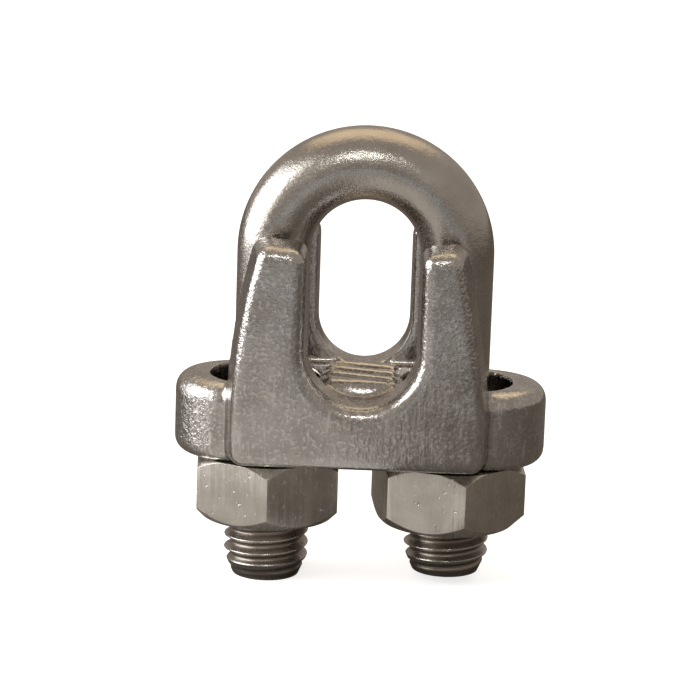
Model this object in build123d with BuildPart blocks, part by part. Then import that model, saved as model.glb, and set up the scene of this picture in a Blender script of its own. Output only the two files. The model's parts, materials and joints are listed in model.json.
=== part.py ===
from build123d import *
import os
from math import floor, sqrt, tan, radians

# Wire rope clip for 8 mm rope: a threaded U-bolt, a cast saddle and two hex nuts.
# Millimetres. +Z runs up the legs to the arch, X runs from leg to leg, and Y is the rope's direction.
# The origin is under the middle of the saddle, level with the end of the longer leg.

# U-bolt
leg_spacing = 16.8
rod_radius = 3.38
arch_centre_z = 30.84
left_leg_end = 0.0
right_leg_end = 1.0
end_cone_radius = 3.1
end_cone_slope = 2.3

# M8 thread, cut on the legs and in the nuts
thread_radius = 3.93
thread_root_radius = 3.27
thread_pitch = 1.25
thread_top = 17.0
runout_slope = 1.8
trim_radius = 4.2
ridge_base_half = 0.47
ridge_crest_half = 0.09
thread_clearance = 0.08
bore_clearance = 0.13
left_thread_phase = 0.52
right_thread_phase = 0.4

# Hex nuts
nut_across_flats = 13.0
nut_height = 6.0
nut_top_corner_drop = 0.9
nut_bottom_corner_drop = 1.3
nut_seat_gap = 0.02
nut_countersink = 0.75
left_nut_turn = 2.0
right_nut_turn = 11.8

# Saddle: heights marked "up" are counted from its underside
underside = 11.8
base_half_length = 17.15
base_half_depth = 5.7
base_thickness = 7.4
base_top_round = 1.55
base_bottom_round = 1.25
cheek_inner = 4.7
cheek_outer = 8.6
left_half_width = 12.3
right_half_width = 12.0
cheek_straight_up = 5.4
horn_top_up = 21.35
horn_inner_top_up = 20.95
left_horn_half_width = 9.95
right_horn_half_width = 9.2
left_side_bulge = 0.48
right_side_bulge = 0.15
cheek_corner_round = 1.35
cheek_face_round = 1.2
cheek_side_draft = 0.7
cheek_top_draft = 0.35
cheek_bottom_draft = 0.65
notch_front_centre_up = 11.5
notch_back_centre_up = 11.75
notch_front_half = 5.25
notch_back_half = 4.2
hole_radius = 4.2
hole_inner_x = 8.1
hole_outer_x = 9.75

# Ribbed rope pad in the floor of the saddle
pad_half_width = 3.2
pad_half_length = 4.45
pad_up = 7.9
pad_end_round = 1.3
pad_side_round = 0.45
groove_count = 3
groove_spacing = 2.2
groove_radius = 0.6
groove_depth = 0.55
groove_slant = -17.0

leg_x = leg_spacing / 2
floor_z = underside + pad_up


def notch(y):
    """Centre height and half-width of the rope notch at depth y: it narrows and rises toward the back."""
    share = (y + cheek_outer) / (2 * cheek_outer)
    centre_up = notch_front_centre_up + (notch_back_centre_up - notch_front_centre_up) * share
    half = notch_front_half + (notch_back_half - notch_front_half) * share
    return underside + centre_up, half


def thread_ridge(centre_x, phase, bottom, top, clearance):
    """One right-hand thread ridge; clearance fattens it for cutting a nut's thread."""
    start = phase + thread_pitch * floor((bottom - phase) / thread_pitch)
    depth = thread_radius - thread_root_radius + clearance
    embed = 0.12
    base = ridge_base_half + embed * tan(radians(30)) + clearance
    crest = ridge_crest_half + clearance
    with BuildPart() as ridge:
        with BuildLine() as path:
            Helix(thread_pitch, top - start, thread_root_radius, center=(centre_x, 0, start))
        section = Plane(origin=(centre_x + thread_root_radius, 0, start), x_dir=(1, 0, 0), z_dir=(0, -1, 0))
        with BuildSketch(section):
            with BuildLine():
                Polyline((-embed, -base), (depth, -crest), (depth, crest), (-embed, base), close=True)
            make_face()
        sweep(path=path.line, is_frenet=True)
    return ridge.part


def threaded_leg(centre_x, end_z, phase):
    """The threaded end of one leg, trimmed to a lead-in cone below and a fading run-out above."""
    ridge = thread_ridge(centre_x, phase, end_z - 2 * thread_pitch, thread_top + thread_pitch, 0)
    with BuildPart() as leg:
        with BuildSketch(Plane.XY.offset(end_z - thread_pitch)):
            with Locations((centre_x, 0)):
                Circle(thread_root_radius)
        extrude(amount=thread_top - end_z + thread_pitch)
        add(ridge)
        with BuildSketch(Plane(origin=(centre_x, 0, 0), x_dir=(1, 0, 0), z_dir=(0, -1, 0))):
            with BuildLine():
                Polyline(
                    (0, end_z),
                    (end_cone_radius, end_z),
                    (trim_radius, end_z + end_cone_slope * (trim_radius - end_cone_radius)),
                    (trim_radius, thread_top - runout_slope * (trim_radius - thread_root_radius)),
                    (thread_root_radius, thread_top),
                    (0, thread_top),
                    close=True,
                )
            make_face()
        revolve(axis=Axis((centre_x, 0, 0), (0, 0, 1)), mode=Mode.INTERSECT)
    return leg.part


# U-bolt: one rod bent over the rope, with both legs threaded from the end
left_thread = threaded_leg(-leg_x, left_leg_end, left_thread_phase)
right_thread = threaded_leg(leg_x, right_leg_end, right_thread_phase)
with BuildPart() as u_bolt:
    with BuildSketch(Plane.XY.offset(arch_centre_z)):
        with Locations((leg_x, 0)):
            Circle(rod_radius)
    revolve(axis=Axis((0, 0, arch_centre_z), (0, -1, 0)), revolution_arc=180)
    with BuildSketch(Plane.XY.offset(thread_top)):
        with Locations((-leg_x, 0), (leg_x, 0)):
            Circle(rod_radius)
    extrude(amount=arch_centre_z - thread_top)
    add(left_thread)
    add(right_thread)
u_bolt.part.label = "u_bolt"


def cheek_outline(y, side_inset, top_inset, bottom_inset):
    """Face of one cheek at depth y: two horns either side of the rope notch."""
    centre_z, half = notch(y)
    left = side_inset - left_half_width
    right = right_half_width - side_inset
    bottom = underside + bottom_inset
    shoulder_z = underside + cheek_straight_up
    horn_z = underside + horn_top_up - top_inset
    inner_z = underside + horn_inner_top_up - top_inset
    left_top = (side_inset - left_horn_half_width, horn_z)
    right_top = (right_horn_half_width - side_inset, horn_z)
    middle_z = (horn_z + shoulder_z) / 2
    left_mid = ((left_top[0] + left) / 2 - left_side_bulge, middle_z)
    right_mid = ((right_top[0] + right) / 2 + right_side_bulge, middle_z)
    with BuildSketch(Plane(origin=(0, y, 0), x_dir=(1, 0, 0), z_dir=(0, -1, 0))) as outline:
        with BuildLine():
            Polyline((left, shoulder_z), (left, bottom), (right, bottom), (right, shoulder_z))
            ThreePointArc((right, shoulder_z), right_mid, right_top)
            Polyline(right_top, (half, inner_z), (half, centre_z))
            ThreePointArc((half, centre_z), (0, centre_z - half), (-half, centre_z))
            Polyline((-half, centre_z), (-half, inner_z), left_top)
            ThreePointArc(left_top, left_mid, (left, shoulder_z))
        make_face()
        corners = outline.vertices().filter_by_position(Axis.Y, inner_z - 0.1, horn_z + 0.1)
        corners += outline.vertices().filter_by_position(Axis.Y, bottom - 0.1, bottom + 0.1)
        fillet(corners, cheek_corner_round)
    return outline.sketch


def cheek(side):
    """One cheek plate, drafted and rounded toward its outer face; side is -1 in front, 1 behind."""
    inner_face = cheek_outline(side * cheek_inner, 0, 0, 0)
    outer_face = cheek_outline(side * cheek_outer, cheek_side_draft, cheek_top_draft, cheek_bottom_draft)
    with BuildPart() as plate:
        loft([inner_face, outer_face], ruled=True)
        face = plate.faces().sort_by(Axis.Y)[0 if side < 0 else -1]
        fillet(face.edges(), cheek_face_round)
    return plate.part


# Rope pad: a low rounded hump whose slanting grooves leave gripping ribs
with BuildPart() as pad:
    with BuildSketch(Plane.XY.offset(underside + base_thickness / 2)):
        Rectangle(2 * pad_half_width, 2 * pad_half_length)
    extrude(amount=pad_up - base_thickness / 2)
    pad_top = pad.faces().sort_by(Axis.Z)[-1].edges()
    fillet(pad_top.filter_by(Axis.X), pad_end_round)
    fillet(pad.faces().sort_by(Axis.Z)[-1].edges().filter_by(Axis.Y), pad_side_round)
    for number in range(groove_count):
        groove_y = (number - (groove_count - 1) / 2) * groove_spacing
        axis_z = floor_z + groove_radius - groove_depth
        with Locations(Location((0, groove_y, axis_z), (0, 0, groove_slant))):
            Cylinder(groove_radius, 6 * pad_half_width, rotation=(0, 90, 0), mode=Mode.SUBTRACT)


# Saddle: one casting, a rounded base with two leg holes and a cheek in front of and behind the legs
front_cheek = cheek(-1)
back_cheek = cheek(1)
with BuildPart() as saddle:
    with BuildSketch(Plane.XY.offset(underside)):
        SlotOverall(2 * base_half_length, 2 * base_half_depth)
    extrude(amount=base_thickness)
    fillet(saddle.faces().sort_by(Axis.Z)[-1].edges(), base_top_round)
    fillet(saddle.faces().sort_by(Axis.Z)[0].edges(), base_bottom_round)
    for y in (-cheek_outer, cheek_outer):
        centre_z, half = notch(y)
        with BuildSketch(Plane(origin=(0, y, centre_z), x_dir=(1, 0, 0), z_dir=(0, -1, 0))):
            Circle(half)
    loft(ruled=True, mode=Mode.SUBTRACT)
    add(front_cheek)
    add(back_cheek)
    add(pad.part)
    hole_middle = (hole_inner_x + hole_outer_x) / 2
    with BuildSketch(Plane.XY.offset(underside)):
        with Locations((-hole_middle, 0), (hole_middle, 0)):
            SlotCenterToCenter(hole_outer_x - hole_inner_x, 2 * hole_radius)
    extrude(amount=base_thickness, mode=Mode.SUBTRACT)
saddle.part.label = "saddle"


def hex_nut(name, centre_x, phase, turn):
    """A hex nut under the saddle, its thread in mesh with the leg's; turn is its corner's angle."""
    top = underside - nut_seat_gap
    bottom = top - nut_height
    corner_radius = nut_across_flats / sqrt(3)
    reach = corner_radius + 1
    bottom_radius = corner_radius - nut_bottom_corner_drop
    top_radius = corner_radius - nut_top_corner_drop
    bore_radius = thread_root_radius + bore_clearance
    axis = Axis((centre_x, 0, 0), (0, 0, 1))
    section = Plane(origin=(centre_x, 0, 0), x_dir=(1, 0, 0), z_dir=(0, -1, 0))
    with BuildPart() as screw:
        with BuildSketch(Plane(origin=(centre_x, 0, bottom - thread_pitch / 2))):
            Circle(bore_radius)
        extrude(amount=nut_height + thread_pitch)
        add(thread_ridge(centre_x, phase, bottom - thread_pitch, top + thread_pitch, thread_clearance))
    with BuildPart() as nut:
        with BuildSketch(Plane(origin=(centre_x, 0, bottom))):
            RegularPolygon(corner_radius, 6, rotation=30 + turn)
        extrude(amount=nut_height)
        with BuildSketch(section):
            with BuildLine():
                Polyline(
                    (0, bottom),
                    (bottom_radius, bottom),
                    (reach, bottom + reach - bottom_radius),
                    (reach, top - reach + top_radius),
                    (top_radius, top),
                    (0, top),
                    close=True,
                )
            make_face()
        revolve(axis=axis, mode=Mode.INTERSECT)
        with BuildSketch(section):
            with BuildLine():
                Polyline(
                    (0, bottom - 1),
                    (bore_radius + nut_countersink + 1, bottom - 1),
                    (bore_radius, bottom + nut_countersink),
                    (bore_radius, top - nut_countersink),
                    (bore_radius + nut_countersink + 1, top + 1),
                    (0, top + 1),
                    close=True,
                )
            make_face()
        revolve(axis=axis, mode=Mode.SUBTRACT)
        add(screw.part, mode=Mode.SUBTRACT)
    nut.part.label = name
    return nut.part


left_nut = hex_nut("left_nut", -leg_x, left_thread_phase, left_nut_turn)
right_nut = hex_nut("right_nut", leg_x, right_thread_phase, right_nut_turn)

os.makedirs("parts", exist_ok=True)
for piece in (u_bolt.part, saddle.part, left_nut, right_nut):
    export_step(piece, f"parts/{piece.label}.step")
    print(piece.label, round(piece.volume, 1), "mm3", len(piece.solids()), "solid")
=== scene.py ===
import bmesh
import bpy
import json
import math
from mathutils import Matrix, Vector


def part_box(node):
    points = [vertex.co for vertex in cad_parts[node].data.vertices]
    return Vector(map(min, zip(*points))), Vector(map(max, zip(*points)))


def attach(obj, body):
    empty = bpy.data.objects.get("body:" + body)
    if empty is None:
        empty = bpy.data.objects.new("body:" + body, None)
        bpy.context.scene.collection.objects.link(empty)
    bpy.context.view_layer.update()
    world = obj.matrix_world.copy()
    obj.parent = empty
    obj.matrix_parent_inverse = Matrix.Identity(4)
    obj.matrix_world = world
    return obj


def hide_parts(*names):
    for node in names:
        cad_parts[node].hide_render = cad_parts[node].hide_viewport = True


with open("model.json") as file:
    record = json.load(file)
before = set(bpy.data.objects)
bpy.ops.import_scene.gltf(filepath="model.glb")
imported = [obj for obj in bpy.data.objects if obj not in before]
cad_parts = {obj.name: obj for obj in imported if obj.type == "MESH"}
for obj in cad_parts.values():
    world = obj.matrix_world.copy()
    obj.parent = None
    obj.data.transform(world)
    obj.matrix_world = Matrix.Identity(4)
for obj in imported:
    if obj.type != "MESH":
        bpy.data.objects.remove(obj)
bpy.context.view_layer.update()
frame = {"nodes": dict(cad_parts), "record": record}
mm = 0.001  # pieces are modelled in millimetres, then brought to metres
print("frame loaded:", sorted(frame["nodes"]))


def boxMm(node):
    low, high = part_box(node)
    return Vector(low) / mm, Vector(high) / mm


def jointX(name):
    for joint in frame["record"]["behaviour"]["joints"]:
        if joint["name"] == name:
            return joint["pos_m"][0] / mm


# sizes that the rod and the nuts share; the leg place and thread radius are read from the frame
boltLow, boltHigh = boxMm("u_bolt")
legX = jointX("right_nut_spin")
threadRadius = (boltHigh.x - boltLow.x) / 2 - legX
thread = {"pitch": 1.25, "root": 3.27, "crest": threadRadius, "leftPhase": 0.52, "rightPhase": 0.4}
weld = 1e-4  # vertices closer than this, in millimetres, are one


def newPiece(name, mesh, body, node, material):
    mesh.name = name
    piece = bpy.data.objects.new(name, mesh)
    bpy.context.scene.collection.objects.link(piece)
    mesh.materials.clear()
    mesh.materials.append(material)
    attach(piece, body)
    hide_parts(node)
    return piece


def toMesh(bm, name, smooth=True):
    mesh = bpy.data.meshes.new(name)
    for face in bm.faces:
        face.smooth = smooth
    bm.to_mesh(mesh)
    bm.free()
    return mesh


def applyModifiers(mesh, add):
    # runs modifiers on a loose copy and returns the finished mesh
    holder = bpy.data.objects.new("holder", mesh)
    bpy.context.scene.collection.objects.link(holder)
    add(holder)
    done = bpy.data.meshes.new_from_object(holder.evaluated_get(bpy.context.evaluated_depsgraph_get()))
    bpy.data.objects.remove(holder)
    return done


def pickEdges(geom):
    return [e for e in geom if isinstance(e, bmesh.types.BMEdge)]


def pickVerts(geom):
    return [v for v in geom if isinstance(v, bmesh.types.BMVert)]


def pushRadius(v, wanted):
    # moves a vertex straight out from, or in towards, the Z axis
    reach = math.hypot(v.co.x, v.co.y)
    if reach > 1e-6:
        v.co.x *= wanted / reach
        v.co.y *= wanted / reach


# ---- threads ----
threadShape = {"segments": 56, "crestFlat": 0.2, "rootFlat": 0.3,
               "crestRound": ((0, 0), (0.25, 0.015), (0.5, 0.06)),  # share of the flat, drop
               "flankSteps": (0.12, 0.5, 0.88), "rootDip": 0.02}


def threadChain(bm, bottom, top, root, crest):
    # one up-and-down profile per pitch, drawn as a vertical chain in the XZ plane at angle zero
    pitch, flat = thread["pitch"], threadShape["crestFlat"]
    flank = (pitch - flat - threadShape["rootFlat"]) / 2
    half = [(share * flat, crest - drop) for share, drop in threadShape["crestRound"]]
    soft = half[-1][1]
    half += [(flat / 2 + flank * step, soft + (root - soft) * step) for step in threadShape["flankSteps"]]
    half.append((flat / 2 + flank + threadShape["rootFlat"] / 2, root - threadShape["rootDip"]))
    points = half + [(pitch - z, r) for z, r in reversed(half[1:-1])]
    turns = int(math.ceil((top - bottom) / pitch))
    chain = [bm.verts.new((r, 0, bottom + turn * pitch + z)) for turn in range(turns) for z, r in points]
    chain.append(bm.verts.new((crest, 0, bottom + turns * pitch)))
    return chain + [bm.edges.new(pair) for pair in zip(chain, chain[1:])]


def screwRod(bottom, top, phase, root, crest):
    # closed right-hand threaded rod on the Z axis, cut flat at both ends
    bm = bmesh.new()
    pitch = thread["pitch"]
    start = phase + pitch * math.floor((bottom - phase) / pitch) - 2 * pitch
    geom = threadChain(bm, start, top + 2 * pitch, root, crest)
    steps = threadShape["segments"]
    bmesh.ops.spin(bm, geom=geom, cent=(0, 0, 0), axis=(0, 0, 1), dvec=(0, 0, pitch / steps), angle=math.tau,
                   steps=steps, use_duplicate=False)
    bmesh.ops.remove_doubles(bm, verts=bm.verts, dist=weld)
    for height, normal in ((bottom, (0, 0, -1)), (top, (0, 0, 1))):
        cut = bmesh.ops.bisect_plane(bm, geom=bm.verts[:] + bm.edges[:] + bm.faces[:], dist=1e-5,
                                     plane_co=(0, 0, height), plane_no=normal, clear_outer=True)
        bmesh.ops.edgeloop_fill(bm, edges=pickEdges(cut["geom_cut"]))
    bmesh.ops.recalc_face_normals(bm, faces=bm.faces)
    return bm


# ---- U-bolt ----
uBolt = {"rod": 3.38, "archSegments": 72, "rodSegments": 64, "legSteps": 12, "threadTop": 17.0,
         "threadOverlap": 0.1, "taper": 0.93, "taperLength": 0.35, "endRadius": 3.1, "endSlope": 2.3,
         "runoutSlope": 1.8, "leftEnd": 0.0, "rightEnd": 1.0}


def makeUBolt(material):
    archZ = boltHigh.z - uBolt["rod"] - legX
    bm = bmesh.new()
    # arch: a circle on the right leg spun over to the left
    ring = bmesh.ops.create_circle(bm, segments=uBolt["rodSegments"], radius=uBolt["rod"],
                                   matrix=Matrix.Translation((legX, 0, archZ)))["verts"]
    edges = list(dict.fromkeys(e for v in ring for e in v.link_edges))  # each once, in a fixed order
    last = bmesh.ops.spin(bm, geom=ring + edges, cent=(0, 0, archZ), axis=(0, -1, 0), angle=math.pi,
                          steps=uBolt["archSegments"])["geom_last"]
    drop = -(archZ - uBolt["threadTop"]) / uBolt["legSteps"]
    for loop in (edges, pickEdges(last)):
        for step in range(uBolt["legSteps"]):
            made = bmesh.ops.extrude_edge_only(bm, edges=loop)["geom"]
            loop = pickEdges(made)
            bmesh.ops.translate(bm, verts=pickVerts(made), vec=(0, 0, drop))
        # taper down onto the thread's root
        made = bmesh.ops.extrude_edge_only(bm, edges=loop)["geom"]
        verts, loop = pickVerts(made), pickEdges(made)
        axisX = math.copysign(legX, verts[0].co.x)
        for v in verts:
            v.co.x = axisX + (v.co.x - axisX) * uBolt["taper"]
            v.co.y *= uBolt["taper"]
            v.co.z -= uBolt["taperLength"]
        bmesh.ops.edgeloop_fill(bm, edges=loop)
    bmesh.ops.recalc_face_normals(bm, faces=bm.faces)
    for side, end, phase in ((-1, uBolt["leftEnd"], thread["leftPhase"]),
                             (1, uBolt["rightEnd"], thread["rightPhase"])):
        top = uBolt["threadTop"] - uBolt["threadOverlap"]
        leg = screwRod(end, top, phase, thread["root"], thread["crest"])
        for v in leg.verts:
            lead = uBolt["endRadius"] + (v.co.z - end) / uBolt["endSlope"]
            fade = thread["root"] + (uBolt["threadTop"] - v.co.z) / uBolt["runoutSlope"]
            pushRadius(v, min(math.hypot(v.co.x, v.co.y), lead, fade))
        bmesh.ops.translate(leg, verts=leg.verts, vec=(side * legX, 0, 0))
        legMesh = toMesh(leg, "leg")
        bm.from_mesh(legMesh)
        bpy.data.meshes.remove(legMesh)
    bmesh.ops.scale(bm, vec=(mm, mm, mm), verts=bm.verts)
    mesh = toMesh(bm, "uBolt")
    return newPiece("u_bolt_rod", mesh, "u_bolt", "u_bolt", material)


# ---- nuts ----
nutShape = {"across": 13.0, "topDrop": 0.9, "bottomDrop": 1.3, "edgeRound": 0.12, "bore": 3.42,
            "countersink": 0.75, "rootClearance": 0.14, "crestClearance": 0.06, "coneSegments": 192,
            "leftTurn": 2.0, "rightTurn": 11.8, "cornerMargin": 0.05}
flatWithin, bevelFrom, sharpFrom = 1, 24, 30  # degrees between faces


def nutCone(low, high, corner):
    # double cone that gives the hexagon its curved chamfers
    bm = bmesh.new()
    lower, upper = corner - nutShape["bottomDrop"], corner - nutShape["topDrop"]
    reach = corner + 1
    outline = [(0, low), (lower, low), (reach, low + reach - lower),
               (reach, high - reach + upper), (upper, high), (0, high)]
    chain = [bm.verts.new((r, 0, z)) for r, z in outline]
    edges = [bm.edges.new(pair) for pair in zip(chain, chain[1:])]
    bmesh.ops.spin(bm, geom=chain + edges, cent=(0, 0, 0), axis=(0, 0, 1), angle=math.tau,
                   steps=nutShape["coneSegments"], use_merge=True)
    bmesh.ops.remove_doubles(bm, verts=bm.verts, dist=weld)
    bmesh.ops.recalc_face_normals(bm, faces=bm.faces)
    return bm


def boreCutter(low, high, phase):
    bm = screwRod(low - 1, high + 1, phase, thread["root"] + nutShape["rootClearance"],
                  thread["crest"] + nutShape["crestClearance"])
    for v in bm.verts:
        depth = min(v.co.z - low, high - v.co.z)
        flare = nutShape["bore"] + nutShape["countersink"] - depth
        pushRadius(v, max(math.hypot(v.co.x, v.co.y), flare))
    return bm


def makeNut(node, side, phase, turn, name, material):
    low, high = boxMm(node)
    corner = nutShape["across"] / math.sqrt(3)
    hexagon = bmesh.new()
    middle = Matrix.Translation((0, 0, (low.z + high.z) / 2))
    bmesh.ops.create_cone(hexagon, cap_ends=True, segments=6, radius1=corner, radius2=corner,
                          depth=high.z - low.z, matrix=middle @ Matrix.Rotation(math.radians(turn), 4, "Z"))
    cone = bpy.data.objects.new("cone", toMesh(nutCone(low.z, high.z, corner), "cone"))
    cutter = bpy.data.objects.new("cutter", toMesh(boreCutter(low.z, high.z, phase), "cutter"))
    for helper in (cone, cutter):
        bpy.context.scene.collection.objects.link(helper)

    def finishNut(holder):
        for operation, helper in (("INTERSECT", cone), ("DIFFERENCE", cutter)):
            step = holder.modifiers.new(operation, "BOOLEAN")
            step.operation = operation
            step.object = helper
            step.solver = "EXACT"

    mesh = applyModifiers(toMesh(hexagon, "hexagon", False), finishNut)
    for helper in (cone, cutter):
        bpy.data.objects.remove(helper)
    bm = bmesh.new()
    bm.from_mesh(mesh)
    bmesh.ops.remove_doubles(bm, verts=bm.verts, dist=weld)
    bmesh.ops.dissolve_limit(bm, angle_limit=math.radians(flatWithin), verts=bm.verts, edges=bm.edges)
    outside = corner - nutShape["bottomDrop"] - nutShape["cornerMargin"]
    outer = [e for e in bm.edges if e.is_manifold and e.calc_face_angle(0) > math.radians(bevelFrom)
             and min(math.hypot(v.co.x, v.co.y) for v in e.verts) > outside]
    bmesh.ops.bevel(bm, geom=outer, offset=nutShape["edgeRound"], affect="EDGES", segments=3, profile=0.5,
                    material=-1, clamp_overlap=True)
    bmesh.ops.translate(bm, verts=bm.verts, vec=(side * legX, 0, 0))
    bmesh.ops.scale(bm, vec=(mm, mm, mm), verts=bm.verts)
    done = toMesh(bm, name)
    done.set_sharp_from_angle(angle=math.radians(sharpFrom))
    return newPiece(name, done, node, node, material)


# ---- saddle ----
saddleShape = {"voxel": 0.2, "smoothFactor": 0.5, "smoothSteps": 9}


def makeSaddle(material):
    bm = bmesh.new()
    bm.from_mesh(frame["nodes"]["saddle"].data)
    bmesh.ops.scale(bm, vec=(1 / mm, 1 / mm, 1 / mm), verts=bm.verts)
    bmesh.ops.remove_doubles(bm, verts=bm.verts, dist=weld)

    def soften(holder):
        remesh = holder.modifiers.new("remesh", "REMESH")
        remesh.mode = "VOXEL"
        remesh.voxel_size = saddleShape["voxel"]
        smooth = holder.modifiers.new("smooth", "SMOOTH")
        smooth.factor = saddleShape["smoothFactor"]
        smooth.iterations = saddleShape["smoothSteps"]

    mesh = applyModifiers(toMesh(bm, "saddleCopy"), soften)
    bm = bmesh.new()
    bm.from_mesh(mesh)
    print("saddle faces:", len(bm.faces))
    bmesh.ops.scale(bm, vec=(mm, mm, mm), verts=bm.verts)
    return newPiece("saddle_casting", toMesh(bm, "saddle"), "saddle", "saddle", material)


# ---- finishes ----
def addNode(tree, kind, values=None, **settings):
    made = tree.nodes.new("ShaderNode" + kind)
    for key, value in settings.items():
        setattr(made, key, value)
    for socket, value in (values or {}).items():
        if isinstance(value, bpy.types.NodeSocket):
            tree.links.new(value, made.inputs[socket])
        else:
            made.inputs[socket].default_value = value
    return made


def startMaterial(name):
    material = bpy.data.materials.new(name)
    material.use_nodes = True
    tree = material.node_tree
    place = addNode(tree, "TexCoord").outputs["Object"]
    place = addNode(tree, "VectorMath", {0: place, "Scale": 1 / mm}, operation="SCALE").outputs[0]
    return material, tree, tree.nodes["Principled BSDF"], place  # place is in millimetres


def noiseAt(tree, place, scale, detail, roughness, stretch=None):
    if stretch:
        place = addNode(tree, "Mapping", {"Vector": place, "Scale": stretch}).outputs[0]
    return addNode(tree, "TexNoise", {"Vector": place, "Scale": scale, "Detail": detail,
                                      "Roughness": roughness}).outputs["Fac"]


def spread(tree, value, low, high, toLow=0, toHigh=1):
    return addNode(tree, "MapRange", {"Value": value, "From Min": low, "From Max": high, "To Min": toLow,
                                      "To Max": toHigh}).outputs["Result"]


def mathOf(tree, operation, first, second=0):
    return addNode(tree, "Math", {0: first, 1: second}, operation=operation).outputs[0]


def times(tree, first, second):
    return mathOf(tree, "MULTIPLY", first, second)


def blendColor(tree, share, first, second):
    made = addNode(tree, "Mix", data_type="RGBA")
    for socket, value in ((0, share), (6, first), (7, second)):
        if isinstance(value, bpy.types.NodeSocket):
            tree.links.new(value, made.inputs[socket])
        else:
            made.inputs[socket].default_value = value if socket == 0 else (*value, 1)
    return made.outputs[2]


def bumpOf(tree, height, distance, normal=None):
    values = {"Height": height, "Distance": distance * mm, "Strength": 1}
    if normal is not None:
        values["Normal"] = normal
    return addNode(tree, "Bump", values).outputs[0]


def edgeShare(tree, look):
    # 1 on convex edges, where handling has rubbed the metal bright
    return spread(tree, addNode(tree, "NewGeometry").outputs["Pointiness"], *look["edgeRange"])


toneRange = (0.35, 0.65)  # part of a noise that carries the change from dark to light
strokeRange = (0.3, 0.7)

# each pattern is scale per millimetre, detail, roughness and, where it is drawn out, its stretch
castLook = {"dark": (0.44, 0.415, 0.385), "light": (0.56, 0.54, 0.515), "worn": (0.76, 0.75, 0.74),
            "tone": (0.32, 5, 0.6), "wave": (0.55, 2, 0.5), "waveDepth": 0.05,
            "grain": (3.3, 2, 0.5), "grainRange": (0.52, 0.66), "grainWear": 0.7, "grainDepth": 0.06,
            "brush": (2.6, 3, 0.6, (1, 1, 0.14)), "brushDepth": 0.022,
            "streakRange": (0.56, 0.7), "streakWear": 0.7,
            "pits": (1.5, 4, 0.7), "pitsFromX": (-12.6, -13.4), "pitsDepth": 0.12,
            "hornsFromZ": (18.5, 23.5), "grainOnPlate": 0.45, "brushOnHorns": 0.25,
            "edgeRange": (0.505, 0.54), "edgeWear": 0.55, "edgePolish": 0.08,
            "roughness": 0.21, "roughSpread": (-0.06, 0.09)}


def castMaterial(name):
    look = castLook
    material, tree, shader, place = startMaterial(name)
    axes = addNode(tree, "SeparateXYZ", {0: place})
    tone = noiseAt(tree, place, *look["tone"])
    grain = noiseAt(tree, place, *look["grain"])
    brush = noiseAt(tree, place, *look["brush"])
    upper = spread(tree, axes.outputs["Z"], *look["hornsFromZ"])  # 0 on the plate, 1 on the horns
    edge = edgeShare(tree, look)
    color = blendColor(tree, spread(tree, tone, *toneRange), look["dark"], look["light"])
    grainShare = times(tree, spread(tree, grain, *look["grainRange"]), look["grainWear"])
    color = blendColor(tree, grainShare, color, look["worn"])
    onPlate = spread(tree, upper, 0, 1, look["streakWear"], 0)
    streak = times(tree, spread(tree, brush, *look["streakRange"]), onPlate)
    color = blendColor(tree, streak, color, look["worn"])
    color = blendColor(tree, times(tree, edge, look["edgeWear"]), color, look["worn"])
    tree.links.new(color, shader.inputs["Base Color"])
    rough = mathOf(tree, "ADD", spread(tree, brush, *strokeRange, *look["roughSpread"]), look["roughness"])
    rough = mathOf(tree, "SUBTRACT", rough, times(tree, edge, look["edgePolish"]))
    tree.links.new(rough, shader.inputs["Roughness"])
    leftLobe = spread(tree, axes.outputs["X"], *look["pitsFromX"])
    patch = times(tree, leftLobe, noiseAt(tree, place, *look["pits"]))
    normal = bumpOf(tree, noiseAt(tree, place, *look["wave"]), look["waveDepth"])
    grainHeight = times(tree, grain, spread(tree, upper, 0, 1, look["grainOnPlate"], 1))
    normal = bumpOf(tree, grainHeight, look["grainDepth"], normal)
    brushHeight = times(tree, brush, spread(tree, upper, 0, 1, 1, look["brushOnHorns"]))
    normal = bumpOf(tree, brushHeight, look["brushDepth"], normal)
    tree.links.new(bumpOf(tree, patch, look["pitsDepth"], normal), shader.inputs["Normal"])
    shader.inputs["Metallic"].default_value = 1
    return material


rodLook = {"dark": (0.48, 0.45, 0.415), "light": (0.6, 0.575, 0.54), "worn": (0.76, 0.74, 0.7),
           # the groove colour below is painted shade in the thread grooves, faded out near the leg ends
           "grooveShade": (0.2, 0.168, 0.135), "grooveShadeWeight": 0.75, "grooveRough": 0.1,
           "crestMargin": 0.05, "rootMargin": 0.1, "grooveFade": 1, "shadeEndFade": (0.02, 0.3),
           "tone": (0.25, 5, 0.6), "wave": (0.5, 2, 0.5), "waveDepth": 0.05,
           "grain": (4.5, 3, 0.6), "grainRange": (0.55, 0.72), "grainWear": 0.35, "grainDepth": 0.022,
           "scratch": (1.8, 4, 0.7, (0.35, 2, 2)), "scratchDepth": 0.02,
           "roughness": 0.2, "roughSpread": (-0.04, 0.1)}


def grooveShadeShare(tree, place):
    # painted shade mask: 1 in the thread grooves and 0 on the crests, by distance from the leg's axis
    x, y, z = addNode(tree, "SeparateXYZ", {0: place}).outputs
    side = mathOf(tree, "SUBTRACT", mathOf(tree, "ABSOLUTE", x), legX)
    reach = mathOf(tree, "SQRT", mathOf(tree, "ADD", times(tree, side, side), times(tree, y, y)))
    crest, root = thread["crest"] - rodLook["crestMargin"], thread["root"] + rodLook["rootMargin"]
    depth = spread(tree, reach, crest, root)
    below = spread(tree, z, uBolt["threadTop"], uBolt["threadTop"] - rodLook["grooveFade"])
    return times(tree, times(tree, depth, below), spread(tree, z, *rodLook["shadeEndFade"]))


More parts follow.
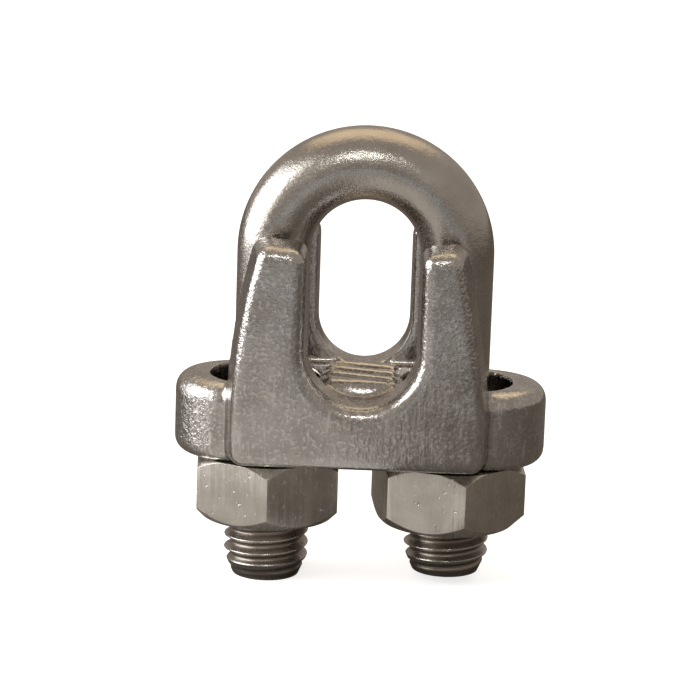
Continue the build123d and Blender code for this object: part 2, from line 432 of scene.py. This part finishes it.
def rodMaterial(name):
    look = rodLook
    material, tree, shader, place = startMaterial(name)
    tone = noiseAt(tree, place, *look["tone"])
    grain = noiseAt(tree, place, *look["grain"])
    scratch = noiseAt(tree, place, *look["scratch"])
    color = blendColor(tree, spread(tree, tone, *toneRange), look["dark"], look["light"])
    grainShare = times(tree, spread(tree, grain, *look["grainRange"]), look["grainWear"])
    color = blendColor(tree, grainShare, color, look["worn"])
    # painted shade darkens the thread grooves, while the crests are left unshaded
    grooveShade = grooveShadeShare(tree, place)
    color = blendColor(tree, times(tree, grooveShade, look["grooveShadeWeight"]), color, look["grooveShade"])
    tree.links.new(color, shader.inputs["Base Color"])
    rough = mathOf(tree, "ADD", spread(tree, grain, *strokeRange, *look["roughSpread"]), look["roughness"])
    rough = mathOf(tree, "ADD", rough, times(tree, grooveShade, look["grooveRough"]))
    tree.links.new(rough, shader.inputs["Roughness"])
    normal = bumpOf(tree, noiseAt(tree, place, *look["wave"]), look["waveDepth"])
    normal = bumpOf(tree, grain, look["grainDepth"], normal)
    tree.links.new(bumpOf(tree, scratch, look["scratchDepth"], normal), shader.inputs["Normal"])
    shader.inputs["Metallic"].default_value = 1
    return material


nutLook = {"dark": (0.5, 0.47, 0.43), "light": (0.64, 0.61, 0.565), "worn": (0.8, 0.77, 0.72),
           "tone": (0.3, 4, 0.6), "wave": (0.45, 2, 0.5), "waveDepth": 0.06,
           "brush": (3.2, 3, 0.6, (1, 1, 0.06)), "brushDepth": 0.02,
           "pits": (2.2, 2, 0.5), "pitsRange": (0.66, 0.74), "pitsShare": 0.5, "pitsDepth": -0.03,
           "edgeRange": (0.505, 0.56), "edgeWear": 0.7, "roughness": 0.26, "roughSpread": (-0.05, 0.09)}


def nutMaterial(name):
    look = nutLook
    material, tree, shader, place = startMaterial(name)
    tone = noiseAt(tree, place, *look["tone"])
    brush = noiseAt(tree, place, *look["brush"])
    pits = spread(tree, noiseAt(tree, place, *look["pits"]), *look["pitsRange"])
    color = blendColor(tree, spread(tree, tone, *toneRange), look["dark"], look["light"])
    color = blendColor(tree, times(tree, pits, look["pitsShare"]), color, look["dark"])
    color = blendColor(tree, times(tree, edgeShare(tree, look), look["edgeWear"]), color, look["worn"])
    tree.links.new(color, shader.inputs["Base Color"])
    rough = mathOf(tree, "ADD", spread(tree, brush, *strokeRange, *look["roughSpread"]), look["roughness"])
    tree.links.new(rough, shader.inputs["Roughness"])
    normal = bumpOf(tree, brush, look["brushDepth"])
    normal = bumpOf(tree, noiseAt(tree, place, *look["wave"]), look["waveDepth"], normal)
    tree.links.new(bumpOf(tree, pits, look["pitsDepth"], normal), shader.inputs["Normal"])
    shader.inputs["Metallic"].default_value = 1
    return material


# ---- studio ----
view = {"target": (0, 0, 22.2), "distance": 298.5, "azimuth": 0.52, "elevation": 13.76, "roll": 2.03,
        "lens": 166.4, "sensor": 36, "clip": (0.01, 20), "aimRight": -1.16, "aimUp": -0.54}


def placeCamera():
    azimuth, elevation = math.radians(view["azimuth"]), math.radians(view["elevation"])
    back = Vector((math.sin(azimuth) * math.cos(elevation), -math.cos(azimuth) * math.cos(elevation),
                   math.sin(elevation)))
    right = Vector((math.cos(azimuth), math.sin(azimuth), 0))
    up = back.cross(right)
    roll = math.radians(view["roll"])
    cameraRight = right * math.cos(roll) + up * math.sin(roll)
    cameraUp = up * math.cos(roll) - right * math.sin(roll)
    place = Vector(view["target"]) + back * view["distance"]
    aim = Vector(view["target"]) + cameraRight * view["aimRight"] + cameraUp * view["aimUp"]
    forward = (aim - place).normalized()
    cameraRight = forward.cross(cameraUp).normalized()
    cameraUp = cameraRight.cross(forward)
    turn = Matrix((cameraRight, cameraUp, -forward)).transposed().to_4x4()
    data = bpy.data.cameras.new("camera")
    data.lens = view["lens"]
    data.sensor_width = view["sensor"]
    data.clip_start, data.clip_end = view["clip"]
    camera = bpy.data.objects.new("camera", data)
    camera.matrix_world = Matrix.Translation(place * mm) @ turn
    bpy.context.scene.collection.objects.link(camera)
    bpy.context.scene.camera = camera


lamps = {
    # name: place, size, radiance, colour, aim (metres)
    "floorCard": ((-0.072, -0.049, 0.0005), (0.15, 0.085), 0.4, (1, 0.96, 0.9), (-0.072, -0.049, 1)),
    "leftPanel": ((-0.27, -0.17, 0.14), (0.14, 0.24), 2.3, (1, 0.98, 0.95), (0, 0, 0.02)),
    "leftWall": ((-0.33, -0.03, 0.08), (0.28, 0.32), 3.8, (0.97, 0.98, 1), (0, 0, 0.025)),
    "frontCard": ((-0.01, -0.17, 0.0005), (0.26, 0.1), 0.55, (0.88, 0.94, 1), (-0.01, -0.17, 1)),
    "frontLamp": ((-0.03, -0.5, 0.36), (0.16, 0.06), 10.0, (1, 0.99, 0.97), (0, 0, 0.03)),
    "warmPanel": ((0.0, 0.22, 0.5), (0.6, 0.45), 0.72, (1, 0.76, 0.46), (0, 0, 0.02)),
}


def makeLights():
    for name, (place, size, radiance, color, aim) in lamps.items():
        data = bpy.data.lights.new(name, "AREA")
        data.shape = "RECTANGLE"
        data.size, data.size_y = size
        data.energy = radiance * math.pi * size[0] * size[1]
        data.color = color
        lamp = bpy.data.objects.new(name, data)
        lamp.location = place
        lamp.rotation_mode = "QUATERNION"
        lamp.rotation_quaternion = (Vector(aim) - Vector(place)).to_track_quat("-Z", "Y")
        lamp.visible_camera = False
        bpy.context.scene.collection.objects.link(lamp)


room = {"seen": (1, 1, 1, 1), "mirrored": (0.38, 0.335, 0.295, 1), "floorHalf": 3,
        "paper": (0.9, 0.9, 0.9, 1), "paperGlow": 0.72, "paperMirrored": (0.22, 0.21, 0.2, 1)}


def rayMix(tree, forCamera, forOthers):
    # the camera sees pale paper, while the steel mirrors a dimmer room
    return addNode(tree, "MixShader", {0: addNode(tree, "LightPath").outputs["Is Camera Ray"], 1: forOthers,
                                       2: forCamera}).outputs[0]


def makeStudio():
    makeLights()
    world = bpy.data.worlds.new("studio")
    bpy.context.scene.world = world
    world.use_nodes = True
    tree = world.node_tree
    pale = addNode(tree, "Background", {"Color": room["seen"]}).outputs[0]
    dim = addNode(tree, "Background", {"Color": room["mirrored"]}).outputs[0]
    tree.links.new(rayMix(tree, pale, dim), tree.nodes["World Output"].inputs[0])
    bm = bmesh.new()
    bmesh.ops.create_grid(bm, x_segments=1, y_segments=1, size=room["floorHalf"])
    floor = bpy.data.objects.new("floor", toMesh(bm, "floor", False))
    bpy.context.scene.collection.objects.link(floor)
    paper = bpy.data.materials.new("palePaper")
    paper.use_nodes = True
    tree = paper.node_tree
    tree.nodes.remove(tree.nodes["Principled BSDF"])
    lit = addNode(tree, "BsdfDiffuse", {"Color": room["paper"]}).outputs[0]
    glow = addNode(tree, "Emission", {"Color": room["seen"], "Strength": room["paperGlow"]}).outputs[0]
    seen = addNode(tree, "AddShader", {0: lit, 1: glow}).outputs[0]
    mirrored = addNode(tree, "BsdfDiffuse", {"Color": room["paperMirrored"]}).outputs[0]
    tree.links.new(rayMix(tree, seen, mirrored), tree.nodes["Material Output"].inputs[0])
    floor.data.materials.append(paper)


print("materials")
rodSteel = rodMaterial("satinRod")
castSteel = castMaterial("tumbledCasting")
nutSteel = nutMaterial("machinedNut")
print("u-bolt")
makeUBolt(rodSteel)
print("nuts")
makeNut("left_nut", -1, thread["leftPhase"], nutShape["leftTurn"], "left_hex_nut", nutSteel)
makeNut("right_nut", 1, thread["rightPhase"], nutShape["rightTurn"], "right_hex_nut", nutSteel)
print("saddle")
makeSaddle(castSteel)
print("studio")
placeCamera()
makeStudio()
bpy.context.scene.view_settings.view_transform = "Standard"
